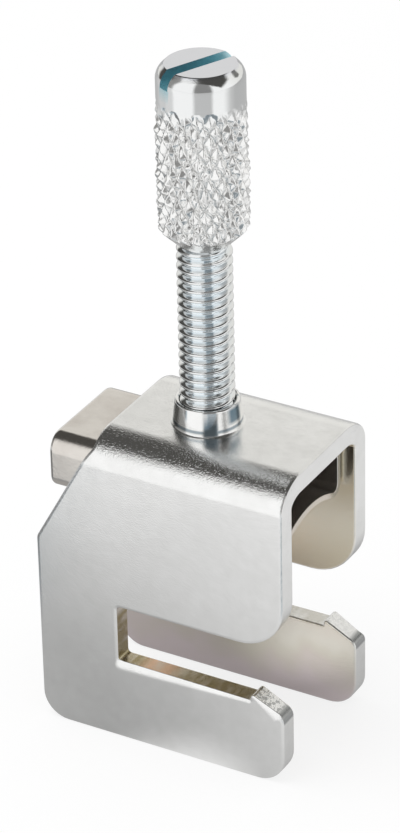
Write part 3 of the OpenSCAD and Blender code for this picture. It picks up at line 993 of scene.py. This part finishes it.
def torn_edges(tree, size, across, x):
    """How torn the punched edges are: streaks across the sheet, faint on the lead-ins."""
    streaks = tree.ramp(tree.noise(across, 1800.0, 3.0), 0.35, 0.75, 0.1, 0.45)
    before_nose = tree.ramp(x, size.nose_x + 0.05 * MM, size.nose_x - 0.15 * MM, 0.15, 1.0)
    return tree.product(tree.mark("cut"), streaks, before_nose)


def bared_slot(tree, size, across, x, y, z):
    """How bare the cut faces of the busbar slot are: ragged, and less so on the plate at +Y."""
    closed_end, nose = size.slot_x - 0.25 * MM, size.nose_x - 0.1 * MM
    seat, jaw = size.seat_z - 0.4 * MM, size.jaw_z - 0.5 * MM
    return tree.product(
        tree.mark("cut"),
        tree.ramp(tree.noise(across, 1500.0, 4.0), 0.36, 0.56, 0.45, 1.0),
        tree.band(x, closed_end, closed_end + 0.1 * MM, nose - 0.25 * MM, nose),
        tree.band(z, seat, seat + 0.3 * MM, jaw - 0.5 * MM, jaw),
        tree.ramp(y, 0.0, 1.0 * MM, 1.0, 0.3),
    )


def scuffed_lead_ins(tree, size, where, x, y, z):
    """How scuffed the lead-ins are: specks, mostly on the plate at -Y, and worn ends of the prongs."""
    low, high = size.lead_z - 0.6 * MM, size.nose_z + 1.0 * MM
    specks = tree.product(
        tree.ramp(tree.noise(where, 3600.0), 0.5, 0.58), tree.ramp(y, 0.0, -1.0 * MM, 0.1, 0.6)
    )
    worn_end = tree.ramp(x, size.mouth_x - 0.7 * MM, size.mouth_x - 0.4 * MM, 0.0, 0.75)
    return tree.product(
        tree.mark("cut"),
        tree.ramp(x, size.nose_x - 0.05 * MM, size.nose_x + 0.15 * MM),
        tree.band(z, low, low + 0.2 * MM, high - 0.2 * MM, high),
        tree.most(specks, worn_end),
    )


def collar_stains_and_painted_light(tree, size, where, z):
    """How dark the drawn collar is marked: upright draw marks as stains, painted shade round its foot, a
    painted dark reflection down its front, and a dark patch on its side."""
    upright = tree.stretched(where, (1.0, 1.0, 0.1))
    streaks = tree.ramp(tree.noise(upright, 1500.0), 0.6, 0.68, 0.0, 0.6)
    # Painted shade: a dark line round the collar's foot.
    painted_foot_shade = tree.ramp(tree.off(z, size.height + 0.35 * MM), 0.16 * MM, 0.07 * MM, 0.0, 0.8)
    outwards = tree.around(tree.vector("SUBTRACT", where, (SCREW_AXIS, 0.0, 0.0)))
    # Painted reflection: a dark column down the collar's front, on the side that faces the camera.
    painted_front_reflection = tree.product(
        tree.ramp(tree.along(outwards, (0.56, -0.83, 0.0)), 0.972, 0.988),
        tree.ramp(z, size.height + 1.6 * MM, size.height + 0.8 * MM, 0.2, 0.95),
    )
    drop = tree.product(
        tree.ramp(tree.along(outwards, (0.99, -0.13, 0.0)), 0.94, 0.985),
        tree.ramp(tree.off(z, size.height + 1.25 * MM), 0.7 * MM, 0.4 * MM),
    )
    return tree.product(tree.mark("drawn"), tree.most(streaks, painted_foot_shade, painted_front_reflection, drop))


def frame_plating(finish, size):
    """Satin plating over a tumbled sheet, with torn, bared, scuffed and stained places, painted reflection
    inside the fold, and painted shade and a painted reflection on the collar. Fine grain and shallow dents
    are bump, smoother on the drawn collar, with a coarser peel on the stretched bends."""
    made, tree = material("frame_plating")
    where = tree.places()
    x, y, z = tree.node("ShaderNodeSeparateXYZ", {0: where}).outputs
    across = tree.stretched(where, (1.0, 0.3, 1.0))
    coarse = tree.ramp(tree.noise(where, 260.0, 3.0), 0.35, 0.65)
    mottle = tree.ramp(tree.noise(where, 1100.0, 4.0), 0.3, 0.7)
    clouds = tree.ramp(tree.total(coarse, mottle), 0.2, 1.8)
    torn, drawn = torn_edges(tree, size, across, x), tree.mark("drawn")
    rosy = tree.band(x, *(size.slot_x + reach * MM for reach in (1.3, 2.3, 3.7, 5.1)))
    oiled = tree.blend(rosy, finish.slot_tint, finish.slot_rosy_tint)
    colour = tree.layers(
        frame_tone(tree, finish, size, where, x, z, clouds),
        (torn, finish.cut_tint),
        (scuffed_lead_ins(tree, size, where, x, y, z), finish.scuff_tint),
        (bared_slot(tree, size, across, x, y, z), oiled),
        # Collar stains, with painted shade at its foot and a painted dark reflection down its front.
        (collar_stains_and_painted_light(tree, size, where, z), finish.stain_and_painted_light_tint),
    )
    rough = tree.total(
        tree.ramp(clouds, 0.0, 1.0, finish.frame_rough - 0.02, finish.frame_rough + 0.03),
        tree.weighted((torn, 0.1), (tree.mark("rub"), -0.04), (drawn, -0.07)),
    )
    relief = tree.weighted((tree.noise(where, 3000.0), 0.25), (tree.noise(where, 11000.0), 0.75))
    relief = tree.product(relief, tree.ramp(drawn, 0.0, 1.0, 1.0, 0.15))
    bent = tree.product(
        tree.ramp(z, size.height - 1.3 * MM, size.height - 0.8 * MM),
        tree.ramp(tree.off(y, 0.0), bend_start(size) + 0.25 * MM, bend_start(size) + 1.05 * MM),
    )
    peel = tree.product(bent, tree.ramp(tree.noise(where, 6500.0, 1.0), 0.5, 0.75, 0.0, 0.7))
    tree.metal(colour, rough, tree.total(relief, peel), 0.6)
    return made


def saddle_plating(finish):
    """Warmer plating of the thin saddle sheet, with duller clouds, paler rims where the edges round over, and
    straw-toned cuts.
    """
    made, tree = material("saddle_plating")
    where = tree.places()
    clouds = tree.ramp(tree.noise(where, 420.0, 3.0), 0.35, 0.65)
    colour = tree.layers(
        finish.saddle_tint,
        (clouds, finish.saddle_shade),
        # Paler colour on the rounded rims, where the rub mark peaks.
        (tree.product(tree.mark("rub"), 0.6), finish.frame_tint),
        (tree.mark("cut"), finish.saddle_cut_tint),
    )
    rough = tree.total(
        tree.ramp(clouds, 0.0, 1.0, finish.saddle_rough - 0.02, finish.saddle_rough + 0.04),
        tree.product(tree.mark("inner"), 0.12),
    )
    relief = tree.weighted((tree.noise(where, 3600.0), 0.7), (tree.noise(where, 11000.0), 0.3))
    tree.metal(colour, rough, relief, 0.35)
    return made


def screw_plating(finish, size):
    """Bright plating: bluer in the thread's valleys, whiter on the knurl with dull pits, blue pooled in the
    screwdriver slot, polished crests, and fine turning marks as bump."""
    made, tree = material("screw_plating")
    where = tree.places()
    clouds = tree.ramp(tree.noise(where, 500.0, 3.0), 0.3, 0.7)
    patchy = tree.ramp(clouds, 0.0, 1.0, 0.45, 1.0)
    driver, grip = tree.mark("driver"), tree.mark("grip")
    height = tree.node("ShaderNodeSeparateXYZ", {0: where}).outputs["Z"]
    colour = tree.layers(
        finish.screw_tint,
        (tree.product(tree.ramp(tree.mark("valley"), 0.2, 1.0), patchy), finish.thread_tint),
        (tree.ramp(height, size.head_z - 0.2 * MM, size.head_z - 0.05 * MM), finish.face_tint),
        (grip, finish.grip_tint),
        (tree.product(tree.mark("pit"), patchy), finish.pit_tint),
        (tree.product(driver, tree.ramp(clouds, 0.0, 1.0, 0.7, 1.0)), finish.driver_tint),
    )
    rough = tree.total(
        tree.ramp(clouds, 0.0, 1.0, finish.screw_rough - 0.02, finish.screw_rough + 0.04),
        tree.weighted((driver, 0.2), (grip, 0.06), (tree.mark("rub"), -0.04)),
    )
    turning = tree.noise(tree.stretched(where, (0.06, 0.06, 1.0)), 9000.0)
    grain = tree.product(tree.noise(where, 5200.0), tree.ramp(grip, 0.0, 1.0, 0.1, 0.6))
    tree.metal(colour, rough, tree.total(tree.product(turning, 0.12), grain), 0.9)
    return made


class CLAMP_OT_stage(bpy.types.Operator):
    """Builds the pale floor, the studio light and the camera"""

    bl_idname = "clamp.stage"
    bl_label = "Stage"
    front_wedge = {"azimuth": 5, "edge": 0.891, "full": 0.9455}
    left_wedge = {"azimuth": -95, "edge": 0.91, "full": 0.96}

    def facing(self, azimuth, elevation=0.0):
        """Direction at an azimuth, counted to the right of the camera's, and an elevation, in degrees."""
        a, e = self.stage.azimuth + math.radians(azimuth), math.radians(elevation)
        return math.cos(e) * math.sin(a), -math.cos(e) * math.cos(a), math.sin(e)

    def wedge(self, tree, way, azimuth, edge, full, depth=1.0, elevation=0.0):
        """Grows from nothing to its depth where a way comes near a direction, by the cosine between them."""
        return tree.ramp(tree.along(way, self.facing(azimuth, elevation)), edge, full, 0.0, depth)

    def shown(self, tree):
        """One for rays from the camera and for rays that mirrors and glass send on."""
        path = tree.node("ShaderNodeLightPath").outputs
        return tree.most(path["Is Camera Ray"], path["Is Glossy Ray"], path["Is Transmission Ray"])

    def mirrored_floor(self, tree):
        """How bright mirrors show the floor, and how cool: dim at the clamp's closed end, lit in its mouth
        and white further out, with dim wedges towards the camera, to the left and behind."""
        stage = self.stage
        where = tree.places()
        dim, lit, out = (
            tree.vector("DISTANCE", where, tuple(middle))
            for middle in (stage.dim_spot, stage.lit_spot, (0.0, 0.0, 0.0))
        )
        way = tree.vector("NORMALIZE", where)
        ahead = self.wedge(tree, way, -25, -0.5, -0.2)
        left = self.wedge(tree, way, **self.left_wedge)
        level = tree.total(
            tree.ease(dim, 28.6 * MM, 53.5 * MM, 0.24, 0.70),
            tree.product(tree.ease(out, 38 * MM, 54 * MM, 0.0, 0.30), ahead),
        )
        level = tree.most(level, tree.ease(lit, 1.5 * MM, 8.5 * MM, 0.78, 0.28))
        near = tree.product(
            tree.most(self.wedge(tree, way, 18, 0.92, 0.96, 0.88), left),
            tree.band(out, 24 * MM, 40 * MM, 78 * MM, 92 * MM),
        )
        beyond = tree.product(
            tree.most(self.wedge(tree, way, **self.front_wedge, depth=0.55), tree.product(left, 0.35)),
            tree.ramp(out, 70 * MM, 95 * MM),
        )
        behind = tree.product(
            self.wedge(tree, way, -12, 0.33, 0.0, 0.45), tree.ramp(out, 60 * MM, 85 * MM)
        )
        return tree.product(level, tree.rest(tree.most(near, beyond, behind))), near

    def add_floor(self):
        """A flat square that takes the clamp's shadow and otherwise shows as white paper."""
        reach = self.stage.floor_size
        mesh = bpy.data.meshes.new("floor")
        corners = [(-reach, -reach, 0), (reach, -reach, 0), (reach, reach, 0), (-reach, reach, 0)]
        mesh.from_pydata(corners, [], [(0, 1, 2, 3)])
        made, tree = material("floor_paper")
        paper = tree.node("ShaderNodeBsdfDiffuse", {"Color": (*self.stage.floor_tint, 1.0)})
        level, cool = self.mirrored_floor(tree)
        seen = tree.node("ShaderNodeLightPath").outputs["Is Camera Ray"]
        colour = tree.blend(tree.product(cool, tree.rest(seen)), WHITE, self.stage.cool_tint)
        glow = tree.node("ShaderNodeEmission", {"Color": colour, "Strength": tree.most(level, seen)})
        amount = tree.product(self.shown(tree), self.stage.floor_glow)
        mixed = tree.node("ShaderNodeMixShader", {0: amount, 1: paper.outputs[0], 2: glow.outputs[0]})
        tree.node("ShaderNodeOutputMaterial", {"Surface": mixed.outputs[0]})
        mesh.materials.append(made)
        floor = bpy.data.objects.new("floor", mesh)
        bpy.context.scene.collection.objects.link(floor)

    def add_studio(self):
        """The world: for what is mirrored, pale walls round the horizon, a dark strip of ceiling along the
        clamp, dim wedges towards the camera and to the left, and a small dark panel at the back right; an
        even soft light for the rest."""
        stage = self.stage
        world = bpy.data.worlds.new("studio")
        world.use_nodes = True
        tree = Shader(world.node_tree)
        way = tree.node("ShaderNodeTexCoord").outputs["Generated"]
        level_way = tree.around(way)
        rise, fall = stage.ceiling_rise, stage.ceiling_fall
        starts = tree.ramp(tree.along(way, (0.0, math.sin(rise), math.cos(rise))), -0.045, 0.045)
        ends = tree.ramp(tree.along(way, (-0.2, -math.sin(fall), -math.cos(fall))), 0.0, 0.16)
        dark = tree.most(
            tree.product(starts, ends),
            self.wedge(tree, way, 118, 0.983, 0.993, 0.85, elevation=24),
            self.wedge(tree, level_way, **self.front_wedge, depth=0.8),
            self.wedge(tree, level_way, **self.left_wedge, depth=0.75),
        )
        walls = tree.blend(self.wedge(tree, way, 0, -0.6, 0.3), stage.back_tint, stage.wall_tint)
        mirrored = tree.blend(dark, walls, stage.ceiling_tint)
        colour = tree.blend(self.shown(tree), stage.fill_tint, mirrored)
        back = tree.node("ShaderNodeBackground", {"Color": colour, "Strength": 1.0})
        tree.node("ShaderNodeOutputWorld", {"Surface": back.outputs[0]})
        bpy.context.scene.world = world

    def add_lamp(self):
        """A round overhead lamp that points at its aim and isn't mirrored."""
        stage = self.stage
        lamp = bpy.data.lights.new("overhead_lamp", "AREA")
        lamp.shape, lamp.size, lamp.energy = "DISK", stage.lamp_width, stage.lamp_power
        hung = bpy.data.objects.new("overhead_lamp", lamp)
        hung.location = stage.lamp_place
        way = Vector(stage.lamp_aim) - Vector(stage.lamp_place)
        hung.rotation_euler = way.to_track_quat("-Z", "Y").to_euler()
        hung.visible_glossy = False
        bpy.context.scene.collection.objects.link(hung)

    def add_camera(self):
        """The camera on its circle round the aim, turned by its roll about the line of sight."""
        stage = self.stage
        view = bpy.data.cameras.new("camera")
        view.sensor_fit, view.sensor_height, view.lens = "VERTICAL", 24.0, stage.lens
        view.clip_start, view.clip_end = 0.01, 10.0
        back = Vector(self.facing(0, math.degrees(stage.elevation)))
        right = Vector((math.cos(stage.azimuth), math.sin(stage.azimuth), 0.0))
        turned_right = right * math.cos(stage.roll) + back.cross(right) * math.sin(stage.roll)
        place = Matrix((turned_right, back.cross(turned_right), back)).transposed().to_4x4()
        place.translation = Vector(stage.aim) + back * stage.distance
        camera = bpy.data.objects.new("camera", view)
        camera.matrix_world = place
        bpy.context.scene.collection.objects.link(camera)
        bpy.context.scene.camera = camera

    def execute(self, context):
        """Floor, studio, lamp and camera, with colours shown as they are written."""
        self.stage = context.scene.clamp_stage
        self.add_floor()
        self.add_studio()
        self.add_lamp()
        self.add_camera()
        context.scene.view_settings.view_transform = "Standard"
        return {"FINISHED"}


GROUPS = {
    "clamp_frame": FrameSizes,
    "clamp_saddle": SaddleSizes,
    "clamp_screw": ScrewSizes,
    "clamp_finish": Finishes,
    "clamp_stage": StageSizes,
}
OPERATORS = (CLAMP_OT_frame, CLAMP_OT_saddle, CLAMP_OT_screw, CLAMP_OT_stage)


class CLAMP_PT_panel(bpy.types.Panel):
    """Lists the clamp's pieces and sizes"""

    bl_idname = "CLAMP_PT_panel"
    bl_label = "Shield Clamp"
    bl_space_type = "VIEW_3D"
    bl_region_type = "UI"
    bl_category = "Clamp"

    def draw(self, context):
        """A button for each piece and the stage, then the values of each group."""
        for operator in OPERATORS:
            self.layout.operator(operator.bl_idname)
        for name, group in GROUPS.items():
            box = self.layout.box()
            box.label(text=group.__doc__)
            for prop in group.__annotations__:
                box.prop(getattr(context.scene, name), prop)


def register():
    """Registers the classes and hangs the groups of sizes on the scene."""
    for cls in (*GROUPS.values(), *OPERATORS, CLAMP_PT_panel):
        bpy.utils.register_class(cls)
    for name, group in GROUPS.items():
        setattr(bpy.types.Scene, name, bpy.props.PointerProperty(type=group))


def unregister():
    """Takes the groups and classes away again."""
    for name in GROUPS:
        delattr(bpy.types.Scene, name)
    for cls in (CLAMP_PT_panel, *OPERATORS[::-1], *GROUPS.values()):
        bpy.utils.unregister_class(cls)


def main():
    """Builds the clamp and its stage."""
    register()
    bpy.ops.clamp.frame()
    bpy.ops.clamp.saddle()
    bpy.ops.clamp.screw()
    bpy.ops.clamp.stage()


if __name__ == "__main__":
    main()
